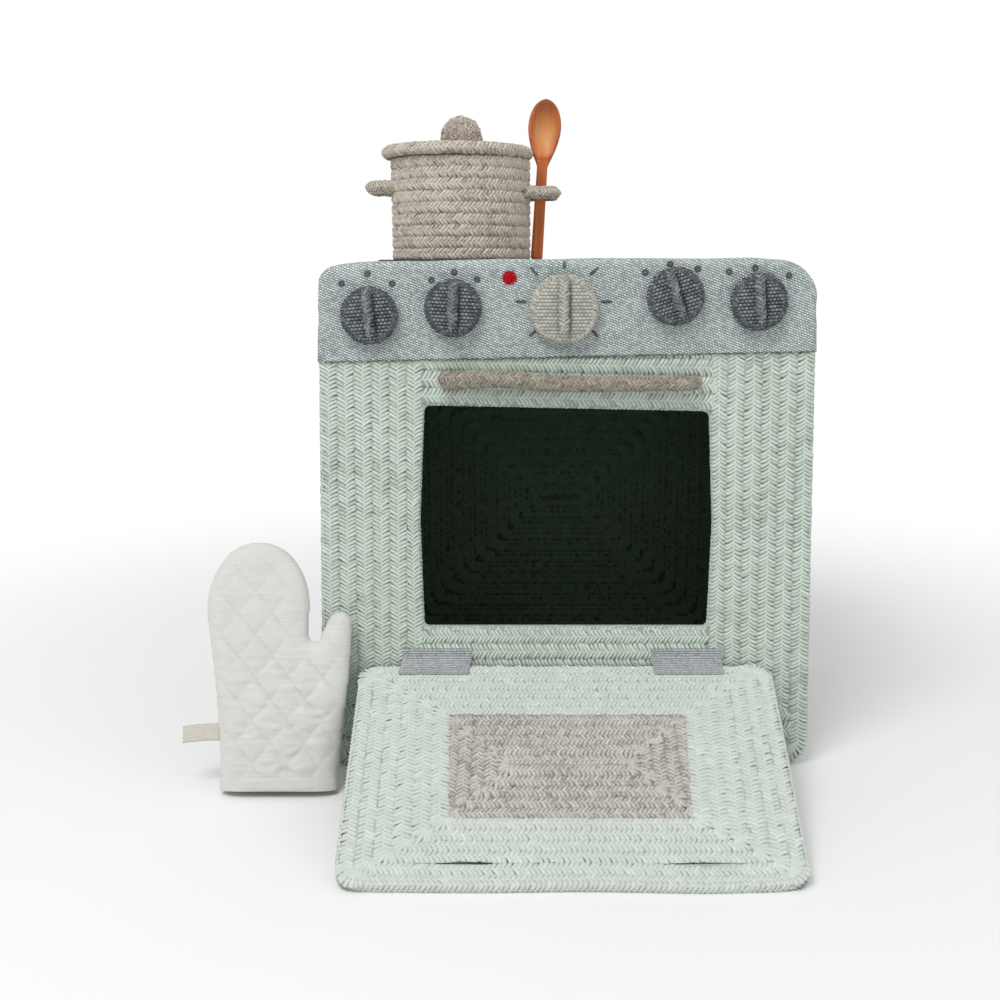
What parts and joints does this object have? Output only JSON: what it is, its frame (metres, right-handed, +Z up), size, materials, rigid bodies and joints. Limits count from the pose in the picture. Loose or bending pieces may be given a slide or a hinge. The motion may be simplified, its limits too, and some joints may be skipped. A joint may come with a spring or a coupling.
{
  "type": "toy kitchen",
  "caption": "Soft toy kitchen of sewn rope with a fold-down oven door, turning cloth knobs, a cooktop, a lidded rope pot, a wooden spoon and a quilted mitt.",
  "frame": {"origin": "middle of the cabinet's footprint on the floor", "axes": "+Z up, the oven faces -Y, +X to the right seen from the front"},
  "size_m": [0.5365, 0.5124, 0.5841],
  "materials": {
    "rope_mint": "braided cotton rope, sewn in rows",
    "rope_dark": "dark green braided rope",
    "band_cloth": "pale blue-green cotton twill",
    "burner_cloth": "dark grey woven patch",
    "rope_taupe": "taupe heather rope",
    "rope_beige": "beige-grey heather rope",
    "rope_grey": "warm grey rope",
    "tape": "grey ribbed woven tape",
    "knob_cloth": "slate ribbed cloth",
    "oven_knob_cloth": "beige ribbed cloth",
    "stud": "hidden stud",
    "mark_thread": "grey embroidery thread",
    "red_thread": "red embroidery thread",
    "spoon_wood": "smooth oiled wood",
    "mitt_cotton": "off-white quilted cotton",
    "mitt_tape": "off-white cotton tape"
  },
  "bodies": {
    "cabinet": {"front_panel": "rope_mint", "back_panel": "rope_mint", "left_wall": "rope_mint", "right_wall": "rope_mint", "base_panel": "rope_mint", "top_panel": "rope_mint", "oven_lining": "rope_dark", "oven_back": "rope_dark", "control_band": "band_cloth", "cover_gusset": "band_cloth", "rear_band": "band_cloth", "burner_left": "burner_cloth", "burner_right": "burner_cloth", "pull_handle": "rope_taupe", "hinge_strap_left_cabinet": "tape", "hinge_strap_right_cabinet": "tape", "knob_pivots": "stud", "ring_marks": "mark_thread", "tick_marks": "mark_thread", "red_light": "red_thread"},
    "door": {"door_panel": "rope_mint", "door_window": "rope_grey", "hinge_strap_left_door": "tape", "hinge_strap_right_door": "tape"},
    "pot": {"pot": "rope_beige", "pot_loop_left": "rope_beige", "pot_loop_right": "rope_beige"},
    "lid": {"lid": "rope_beige", "lid_ball": "rope_beige"},
    "spoon": {"spoon": "spoon_wood"},
    "mitt": {"mitt_front": "mitt_cotton", "mitt_back": "mitt_cotton", "mitt_seam": "mitt_cotton", "mitt_hem": "mitt_cotton", "mitt_loop": "mitt_tape"},
    "burner_knob_1": {"burner_knob_1": "knob_cloth", "burner_knob_1_grip": "knob_cloth"},
    "burner_knob_2": {"burner_knob_2": "knob_cloth", "burner_knob_2_grip": "knob_cloth"},
    "oven_knob": {"oven_knob": "oven_knob_cloth", "oven_knob_grip": "oven_knob_cloth"},
    "burner_knob_3": {"burner_knob_3": "knob_cloth", "burner_knob_3_grip": "knob_cloth"},
    "burner_knob_4": {"burner_knob_4": "knob_cloth", "burner_knob_4_grip": "knob_cloth"}
  },
  "joints": [
    {"name": "door_hinge", "type": "hinge", "parent": "cabinet", "child": "door", "pos_m": [0, -0.1516, 0.101], "axis": [1, 0, 0], "range_deg": [-113.7, 0]},
    {"name": "burner_knob_1_turn", "type": "hinge", "parent": "cabinet", "child": "burner_knob_1", "pos_m": [-0.161, -0.1584, 0.395], "axis": [0, -1, 0], "continuous": true},
    {"name": "burner_knob_2_turn", "type": "hinge", "parent": "cabinet", "child": "burner_knob_2", "pos_m": [-0.093, -0.1584, 0.401], "axis": [0, -1, 0], "continuous": true},
    {"name": "oven_knob_turn", "type": "hinge", "parent": "cabinet", "child": "oven_knob", "pos_m": [-0.003, -0.1584, 0.4], "axis": [0, -1, 0], "continuous": true},
    {"name": "burner_knob_3_turn", "type": "hinge", "parent": "cabinet", "child": "burner_knob_3", "pos_m": [0.0873, -0.1584, 0.4103], "axis": [0, -1, 0], "continuous": true},
    {"name": "burner_knob_4_turn", "type": "hinge", "parent": "cabinet", "child": "burner_knob_4", "pos_m": [0.155, -0.1584, 0.406], "axis": [0, -1, 0], "continuous": true},
    {"name": "pot_lift", "type": "slide", "parent": "cabinet", "child": "pot", "axis": [0, 0, 1], "range_m": [0, 0.2]},
    {"name": "lid_lift", "type": "slide", "parent": "pot", "child": "lid", "axis": [-0.5, 0, 0.866], "range_m": [0, 0.12]},
    {"name": "spoon_lift", "type": "slide", "parent": "pot", "child": "spoon", "axis": [0.0628, 0, 0.998], "range_m": [0, 0.12]},
    {"name": "mitt_lift", "type": "slide", "parent": "cabinet", "child": "mitt", "axis": [0, -0.5, 0.866], "range_m": [0, 0.2]}
  ]
}
